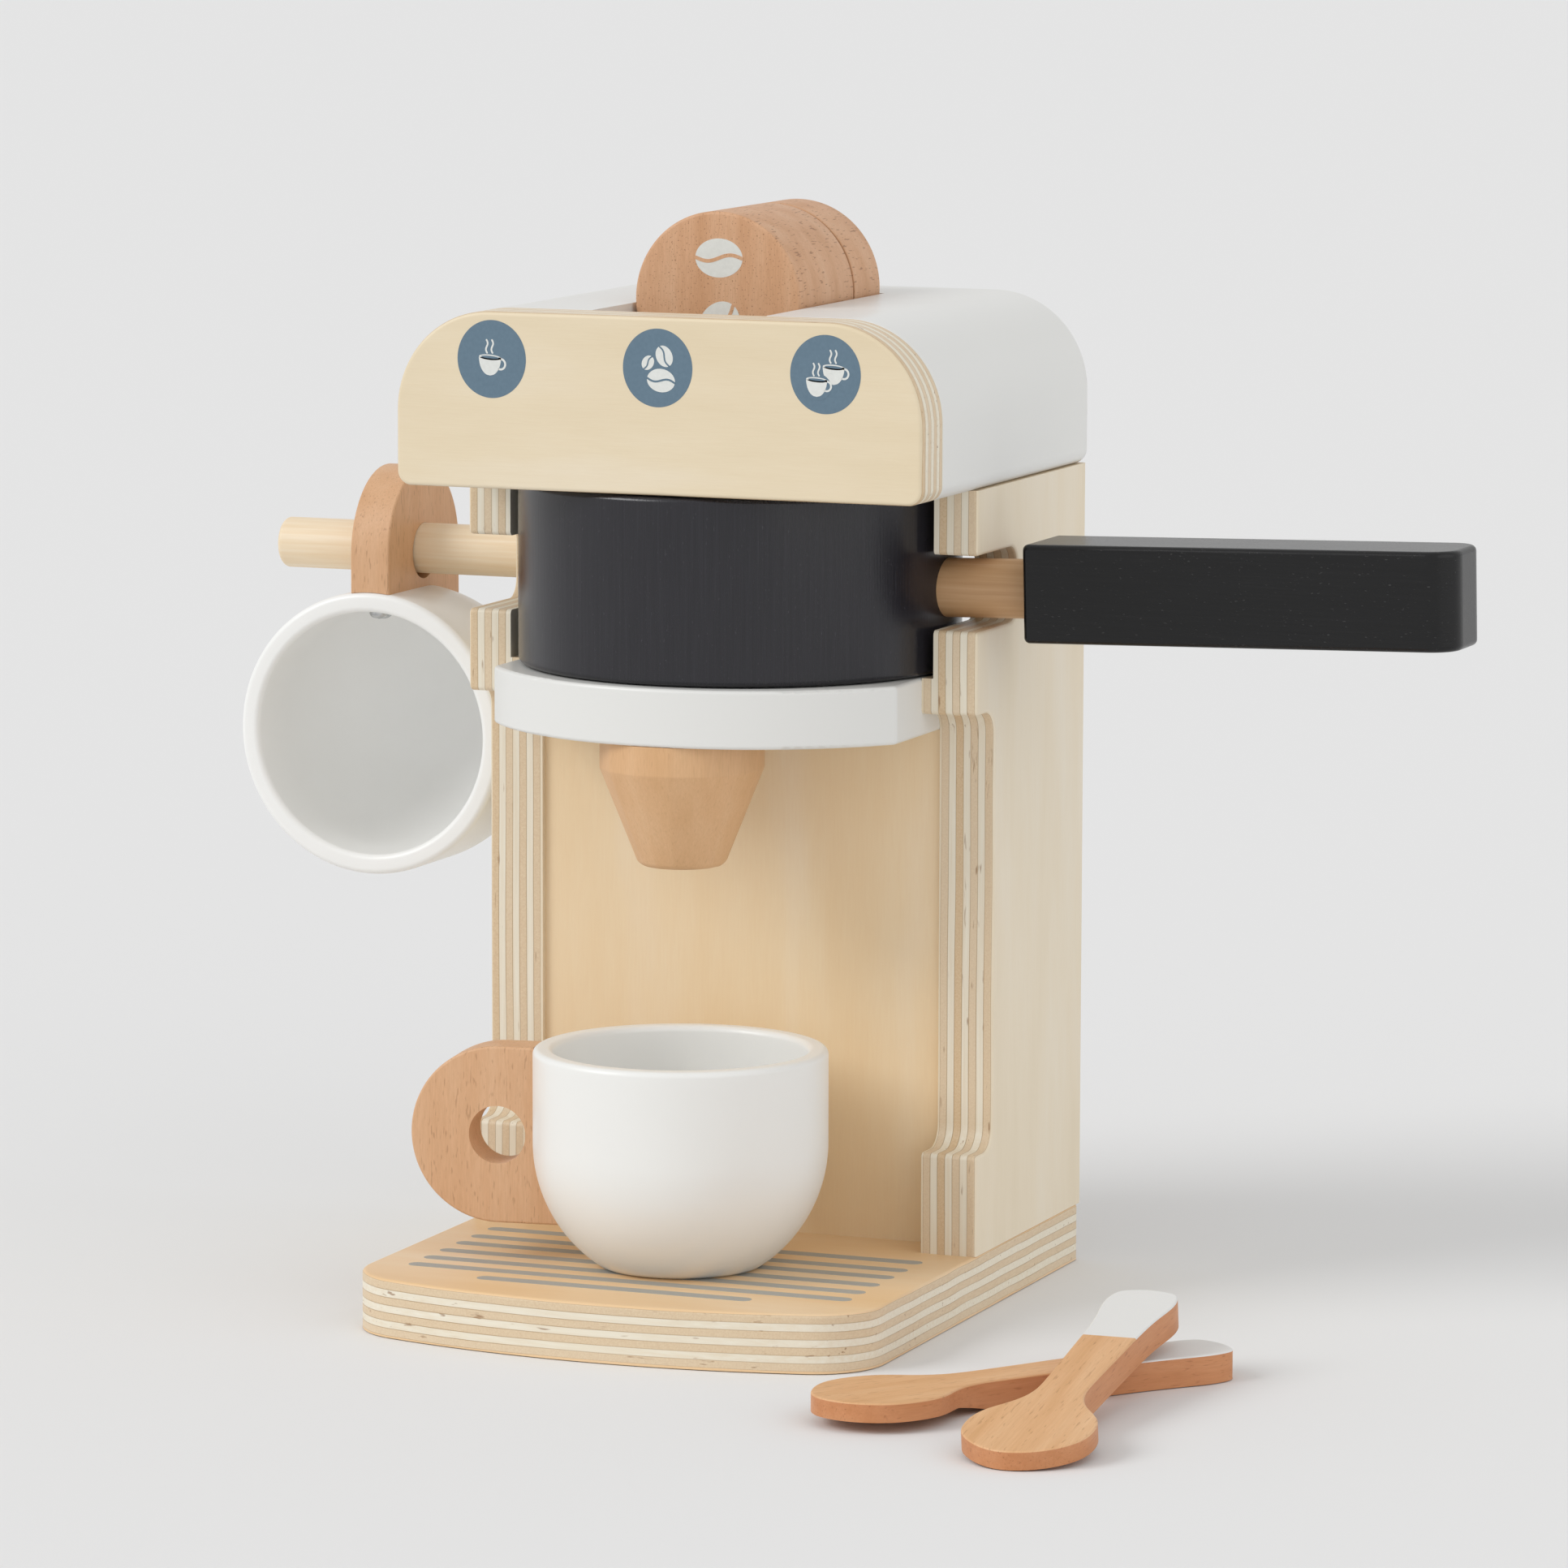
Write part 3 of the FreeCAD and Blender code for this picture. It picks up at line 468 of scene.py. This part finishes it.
# Cup bowls: a ball below, a straight wall above, a soft rim, and the same inside with its own ball
cup = {"radius": 30.2, "inner": 26.0, "height": 45.0, "foot": 16.2, "floor": 4.6, "rim": 1.3, "earHole": 37.6,
       "earMiddle": 26.0, "screwRadius": 24.2, "screwLevel": 38.6, "crossHalf": 0.85, "crossWidth": 0.45}
# one white lacquer for both cups: the tray cup's colour is set a shade darker as painted shade, the hanging cup's a
# shade lighter as painted light
trayCup = {"x": 3.0, "depth": 94.0, "z": 12.0, "turn": 188.5, "grain": 2, "white": "#F0F0ED"}
hangingCup = {"x": -88.2, "slack": 0.55, "grain": 1, "white": "#F7F7F5"}
outside, inside, foot, rim = cup["radius"], cup["inner"], cup["foot"], cup["rim"]
ballZ = math.sqrt(outside ** 2 - foot ** 2)
rimZ = cup["height"] - rim
innerZ = cup["floor"] + inside
wallMargin = 2  # the straight walls' own points keep this far from their ends
footEdge = np.array([[0, 0], [foot - 0.9, 0], [foot - 0.3, 0.12], [foot + 0.05, 0.45]])
swing = np.linspace(-math.asin(ballZ / outside) + 0.02, 0, 40)
ballOut = np.stack([outside * np.cos(swing), ballZ + outside * np.sin(swing)], -1)
wallUp = np.stack([np.full(4, outside), np.linspace(ballZ + wallMargin, rimZ - wallMargin, 4)], -1)
lip = np.linspace(0, math.pi / 2, 12)
back = lip[::-1]
rimOut = np.stack([outside - rim + rim * np.cos(lip), rimZ + rim * np.sin(lip)], -1)
rimIn = np.stack([inside + rim - rim * np.cos(back), rimZ + rim * np.sin(back)], -1)
wallDown = np.stack([np.full(4, inside), np.linspace(rimZ - wallMargin, innerZ + wallMargin, 4)], -1)
dip = np.linspace(0, math.pi / 2, 40)
ballIn = np.stack([inside * np.cos(dip), innerZ - inside * np.sin(dip)], -1)[:-1]
bowlProfile = np.concatenate([footEdge, ballOut, wallUp, rimOut, rimIn, wallDown, ballIn, [[0, cup["floor"]]]])
trayCup["place"] = Matrix.Rotation(math.radians(trayCup["turn"]), 4, "Z")
trayCup["place"] = Matrix.Translation(Vector(at(trayCup["x"], trayCup["depth"], trayCup["z"]))) @ trayCup["place"]
hangZ = rods["peg"]["z"] - hangingCup["slack"] - cup["earHole"]
hangCorner = at(hangingCup["x"], rods["peg"]["depth"] - cup["earMiddle"], hangZ)
earUp = Matrix(((0, -1, 0, 0), (0, 0, -1, 0), (1, 0, 0, 0), (0, 0, 0, 1)))  # mouth to the front, ear on top
hangingCup["place"] = Matrix.Translation(Vector(hangCorner)) @ earUp
half = cup["crossHalf"]
screwCross = [ribbon([(-half, 0), (0, 0), (half, 0)], cup["crossWidth"]),
              ribbon([(0, -half), (0, 0), (0, half)], cup["crossWidth"])]
for name, own in (("tray_cup", trayCup), ("hanging_cup", hangingCup)):
    lacquer = whiteLacquer("whiteLacquer_" + name, own["grain"], own["white"], 4.0)
    closedPiece(name + "_bowl_turned", bowlProfile, own["place"], lacquer, name, "white_paint", name + "_bowl",
                around=200)
    ear = oiledBeech("beechEar_" + name, 2, 2, shift=8.0 + len(name), flecked=0.3, lighter=0.2, tint="#EDC391")
    dress(name + "_ear", ear)
    headMiddle = moved(np.array([[cup["screwRadius"], 0, cup["screwLevel"]]]) * mm, own["place"])[0]
    outward, across, upright = np.array(own["place"])[:3, :3].T
    # the screw head's cross recess is a dark ink cross: painted shade in its hollow
    recessShadeInk = screenInk("recessShadow_" + name, "#2E2F30", "#3A3B3C")
    facePlane = (headMiddle, across, upright, -outward)
    inkPiece(name + "_screw_cross", screwCross, facePlane, 0.06, recessShadeInk, name)
print("nozzle and cups done")

# Capsules: start and length are counted from the column's back, rounds are the back and front edges
capsule = {"radius": 18.2, "flatTo": 15.2, "z": 207.5}
capsules = {"capsule_back": {"start": 21.5, "length": 14.8, "rounds": (0.7, 0.25)},
            "capsule_front": {"start": 37.2, "length": 30.3, "rounds": (0.25, 0.7)}}
for name, own in capsules.items():
    r, flat, end = capsule["radius"], capsule["flatTo"], own["length"]
    profile = roundedProfile([(0, 0, 0), (flat, 0, 0), (r, 0, own["rounds"][0]), (r, end, own["rounds"][1]),
                              (flat, end, 0), (0, end, 0)])
    lying = Matrix.Rotation(math.pi / 2, 4, "X")
    lying = Matrix.Translation(Vector(at(0, own["start"], capsule["z"]))) @ lying
    wood = oiledBeech("beech_" + name, 2, 1, 11.0 + own["start"], 0.6)
    closedPiece(name + "_turned", profile, lying, wood, name, "beech", name, around=200)


def beanShapes(centre, half, turn, slitWidth, sway):
    # a coffee bean: an oval and the wavy slit along its long axis, as two sets of outlines
    c, s = math.cos(math.radians(turn)), math.sin(math.radians(turn))
    long = np.array([c, s]) * half[0] * 0.97
    slit = ribbon(wavyLine(np.array(centre) - long, np.array(centre) + long, sway, 1.0), slitWidth)
    return oval(centre, half, turn), slit


# Two printed beans on the front capsule's face
upperBean = {"centre": (0.4, 8.7), "half": (5.2, 4.0), "turn": 0, "slitWidth": 0.75, "sway": -0.65}
lowerBean = {"centre": (0.4, -5.0), "half": (5.2, 4.2), "turn": 52, "slitWidth": 0.75, "sway": 0.65}
capsuleFace = 67.5  # depth of the front capsule's face
whiteInk = screenInk("whiteInk", "#E4E6E2", "#DADCD8")
beanPlane = (at(0, capsuleFace, capsule["z"]), (1, 0, 0), (0, 0, 1), (0, -1, 0))
beans, slits = zip(beanShapes(**upperBean), beanShapes(**lowerBean))
slitBeech = oiledBeech("beechInSlit", 2, 1, shift=12.0)
inkPiece("capsule_beans", beans, beanPlane, 0.04, whiteInk, "capsule_front")
inkPiece("capsule_bean_slits", slits, beanPlane, 0.08, slitBeech, "capsule_front")

# Printed buttons on the front plate: each has its own place (x, z), as hand-placed prints do
button = {"half": (7.55, 7.92), "left": (-36.0, 196.8), "middle": (0.4, 196.2), "right": (36.6, 196.1)}
discInk = screenInk("slateInk", "#5C7485", "#647C8D")
cupDrawing = {"half": 2.45, "deep": 3.7, "belly": 2.6, "taper": 0.12, "ring": (2.35, -1.35), "ringHalf": (1.0, 1.05),
              "ringWidth": 0.42, "rimHalf": (2.45, 0.55), "openHalf": (1.95, 0.26), "lean": -4,
              "steamX": (-0.65, 0.55), "steamZ": (0.9, 3.5), "steamSway": 0.22, "steamWidth": 0.36}


def cupPicture(centre, size):
    # a steaming cup: the bowl's half width falls as (1 - t ** belly) ** 0.5 down its depth, with a rim oval, a
    # ring for the handle and two wavy lines of steam; the opening is a second set, drawn in the disc's ink
    x, z = centre
    d = cupDrawing
    t = np.linspace(0, 1, 24)
    half = d["half"] * (1 - t ** d["belly"]) ** 0.5 * (1 - d["taper"] * t) + 0.02
    left = np.stack([x - half * size, z - d["deep"] * t * size], -1)
    right = np.stack([x + half * size, z - d["deep"] * t * size], -1)[::-1]
    angle = np.linspace(-1.9, 1.5, 20)
    ring = np.stack([x + (d["ring"][0] + d["ringHalf"][0] * np.cos(angle)) * size,
                     z + (d["ring"][1] + d["ringHalf"][1] * np.sin(angle)) * size], -1)
    rim = oval((x, z), (d["rimHalf"][0] * size, d["rimHalf"][1] * size), d["lean"])
    opening = oval((x, z + 0.02 * size), (d["openHalf"][0] * size, d["openHalf"][1] * size), d["lean"])
    shapes = [np.concatenate([left, right]), ribbon(ring, d["ringWidth"] * size), rim]
    for dx in d["steamX"]:
        low = (x + dx * size, z + d["steamZ"][0] * size)
        high = (x + (dx - 0.1) * size, z + d["steamZ"][1] * size)
        shapes.append(ribbon(wavyLine(low, high, d["steamSway"] * size, 1.0), d["steamWidth"] * size))
    return shapes, [opening]


trioBeans = (
    {"centre": (-2.1, 1.0), "half": (1.55, 1.25), "turn": 55, "slitWidth": 0.28, "sway": -0.2},
    {"centre": (1.45, 2.4), "half": (2.25, 1.75), "turn": 118, "slitWidth": 0.32, "sway": 0.3},
    {"centre": (0.75, -2.5), "half": (3.05, 2.35), "turn": -8, "slitWidth": 0.4, "sway": -0.42})
trio, trioSlits = zip(*[beanShapes(**bean) for bean in trioBeans])
oneCup, oneOpening = cupPicture((-0.35, 0.35), 1.0)
backCup, backOpening = cupPicture((1.75, 1.5), 0.95)
frontCup, frontOpening = cupPicture((-1.85, -1.1), 0.92)
halo = oval((-1.75, -2.55), (3.0, 2.7))  # keeps the front cup clear of the one behind it
# the layers of each picture: name, outlines, how many mm they stand proud, and the ink
layers = {"left": [("button_picture_left", oneCup, 0.06, whiteInk),
                   ("button_detail_left", oneOpening, 0.09, discInk)],
          "middle": [("button_picture_middle", trio, 0.06, whiteInk),
                     ("button_detail_middle", trioSlits, 0.09, discInk)],
          "right": [("button_halo", [halo], 0.075, discInk), ("button_picture_back", backCup, 0.06, whiteInk),
                    ("button_picture_front", frontCup, 0.09, whiteInk),
                    ("button_detail_right", backOpening + frontOpening, 0.105, discInk)]}
for name, pictures in layers.items():
    x, z = button[name]
    plane = (at(x, plateFace, z), (1, 0, 0), (0, 0, 1), (0, -1, 0))
    disc = oval((0, 0), button["half"], count=120)
    inkPiece("button_disc_" + name, [disc], plane, 0.03, discInk, "machine")
    for pieceName, outlines, liftMm, ink in pictures:
        inkPiece(pieceName, outlines, plane, liftMm, ink, "machine")

# Printed drip grille on the base: six long bars and a short one in front, each (depth, half its length)
grille = {"bars": [(74.6, 46.8), (83.1, 46.8), (90.8, 46.8), (99.0, 46.8), (107.0, 46.8), (114.6, 46.8),
                   (122.2, 28.2)],
          "width": 3.5, "baseTop": 12.0}
bars = [ribbon(np.stack([np.linspace(-half, half, 9), np.full(9, -depth)], -1), grille["width"])
        for depth, half in grille["bars"]]
grillePlane = (at(0, 0, grille["baseTop"]), (1, 0, 0), (0, 1, 0), (0, 0, 1))
inkPiece("grille_print", bars, grillePlane, 0.04, screenInk("greyInk", "#A2A19B", "#ADAAA2"), "machine")
print("capsules and prints done")

# Spoons: beech, the handle's upper face painted white from whiteFromMm on; each has its bowl's tip (x, depth,
# z), its heading and how far it tilts up
spoon = {"whiteFromMm": 66.5, "thickMm": 6.0, "topSkinMm": 0.3}
spoons = {"lower": {"tip": (65.6, 175.6, 0.0), "heading": 53.9, "tilt": 0.0},
          "upper": {"tip": (111.4, 195.6, -2.18), "heading": 92.4, "tilt": 7.65}}


def spoonBeech(name, tip, heading, tilt):
    # place is turned back into the spoon's own frame, so the grain runs along it; the sides and underside are painted
    # darker as painted shade
    material, tree, place = startMaterial(name)
    lying = Matrix.Rotation(math.radians(heading), 4, "Z") @ Matrix.Rotation(math.radians(-tilt), 4, "Y")
    back, turn, _ = (Matrix.Translation(Vector(at(*tip))) @ lying).inverted().decompose()
    local = addNode(tree, "Mapping", {"Vector": place, "Location": back, "Rotation": turn.to_euler()})
    along = addNode(tree, "SeparateXYZ", {0: local}, 0)
    level = addNode(tree, "SeparateXYZ", {0: local}, 2)
    broad = grainNoise(tree, local, 0, 5, 60, shift=heading + 1)
    figure = addNode(tree, "ValToRGB", {0: broad}, stops=[(0.28, "#DBA773"), (0.5, "#E6B686"), (0.75, "#EDC498")])
    pores = grainNoise(tree, local, 0, 0.45, 10, 4.0, 0.65, shift=heading)
    poreShare = addNode(tree, "Math", {0: pores, 1: 0.8, 2: -0.22}, operation="MULTIPLY_ADD")
    wood = addNode(tree, "Mix", {0: poreShare, 6: figure, 7: linear("#C48D58")}, 2, data_type="RGBA")
    dashes = grainNoise(tree, local, 0, 0.5, 3.4, 1.0, 0.4, shift=heading + 2)
    flecks = addNode(tree, "ValToRGB", {0: dashes}, stops=[(0.64, "#000000"), (0.74, "#A8A8A8")])
    wood = addNode(tree, "Mix", {0: flecks, 6: wood, 7: linear("#A06538")}, 2, data_type="RGBA")
    topFrom = (spoon["thickMm"] - spoon["topSkinMm"]) * mm
    onTop = addNode(tree, "Math", {0: level, 1: topFrom}, operation="GREATER_THAN")
    # painted shade: everything below the top face is multiplied darker
    paintedSideShade = addNode(tree, "Mix", {0: 0.6, 6: wood, 7: linear("#D69C76")}, 2, data_type="RGBA", blend_type="MULTIPLY")
    wood = addNode(tree, "Mix", {0: onTop, 6: paintedSideShade, 7: wood}, 2, data_type="RGBA")
    past = addNode(tree, "Math", {0: along, 1: spoon["whiteFromMm"] * mm}, operation="GREATER_THAN")
    isWhite = addNode(tree, "Math", {0: past, 1: onTop}, operation="MULTIPLY")
    colour = addNode(tree, "Mix", {0: isWhite, 6: wood, 7: linear("#E6E6E4")}, 2, data_type="RGBA")
    bump = addNode(tree, "Bump", {"Strength": 0.25, "Distance": 0.08 * mm, "Height": pores})
    shader = addNode(tree, "BsdfPrincipled", {"Base Color": colour, "Roughness": 0.48, "Normal": bump})
    addNode(tree, "OutputMaterial", {"Surface": shader})
    return material


for name, own in spoons.items():
    dress("spoon_" + name, spoonBeech("beechSpoon_" + name, **own))
print("spoons done")

# Floor, light and air
studio = {"floor": "#EBEBEB", "floorHalf": 40, "floorZ": -0.0002, "air": "#DEDEDE", "airLight": 0.66}
lamps = {"keyLight": {"strength": 1.18, "source": (-0.86, -0.74, 0.76), "soft": 28},
         "fillLight": {"strength": 0.56, "source": (1.0, -0.4, 0.45), "soft": 70}}
floorMesh = bpy.data.meshes.new("floor")
floorCorners = [(-1, -1), (1, -1), (1, 1), (-1, 1)]
floorPoints = [(x * studio["floorHalf"], y * studio["floorHalf"], studio["floorZ"]) for x, y in floorCorners]
floorMesh.from_pydata(floorPoints, [], [(0, 1, 2, 3)])
floor = bpy.data.objects.new("floor", floorMesh)
bpy.context.scene.collection.objects.link(floor)
floorPaint, floorTree, _ = startMaterial("mattFloorPaint")
floorLook = {"Base Color": linear(studio["floor"]), "Roughness": 0.9, "Specular IOR Level": 0.1}
floorShader = addNode(floorTree, "BsdfPrincipled", floorLook)
addNode(floorTree, "OutputMaterial", {"Surface": floorShader})
floorMesh.materials.append(floorPaint)
for name, own in lamps.items():
    lamp = bpy.data.lights.new(name, "SUN")
    lamp.energy = own["strength"]
    lamp.angle = math.radians(own["soft"])
    holder = bpy.data.objects.new(name, lamp)
    holder.rotation_euler = Vector(own["source"]).to_track_quat("Z", "Y").to_euler()
    bpy.context.scene.collection.objects.link(holder)
# what the camera and mirrored rays see of the air is its colour; what lights the object is airLight
air = bpy.data.worlds.new("air")
air.use_nodes = True
airTree = air.node_tree
airTree.nodes.clear()
direct = addNode(airTree, "LightPath", out="Is Camera Ray")
mirrored = addNode(airTree, "LightPath", out="Is Glossy Ray")
through = addNode(airTree, "LightPath", out="Is Transmission Ray")
seen = addNode(airTree, "Math", {0: direct, 1: mirrored}, operation="MAXIMUM")
seen = addNode(airTree, "Math", {0: seen, 1: through}, operation="MAXIMUM")
lightAir = addNode(airTree, "Background", {"Color": (1, 1, 1, 1), "Strength": studio["airLight"]})
seenAir = addNode(airTree, "Background", {"Color": linear(studio["air"]), "Strength": 1.0})
mixAir = addNode(airTree, "MixShader", {0: seen, 1: lightAir, 2: seenAir})
addNode(airTree, "OutputWorld", {0: mixAir})
bpy.context.scene.world = air
bpy.context.scene.view_settings.view_transform = "Standard"
print("stage done")
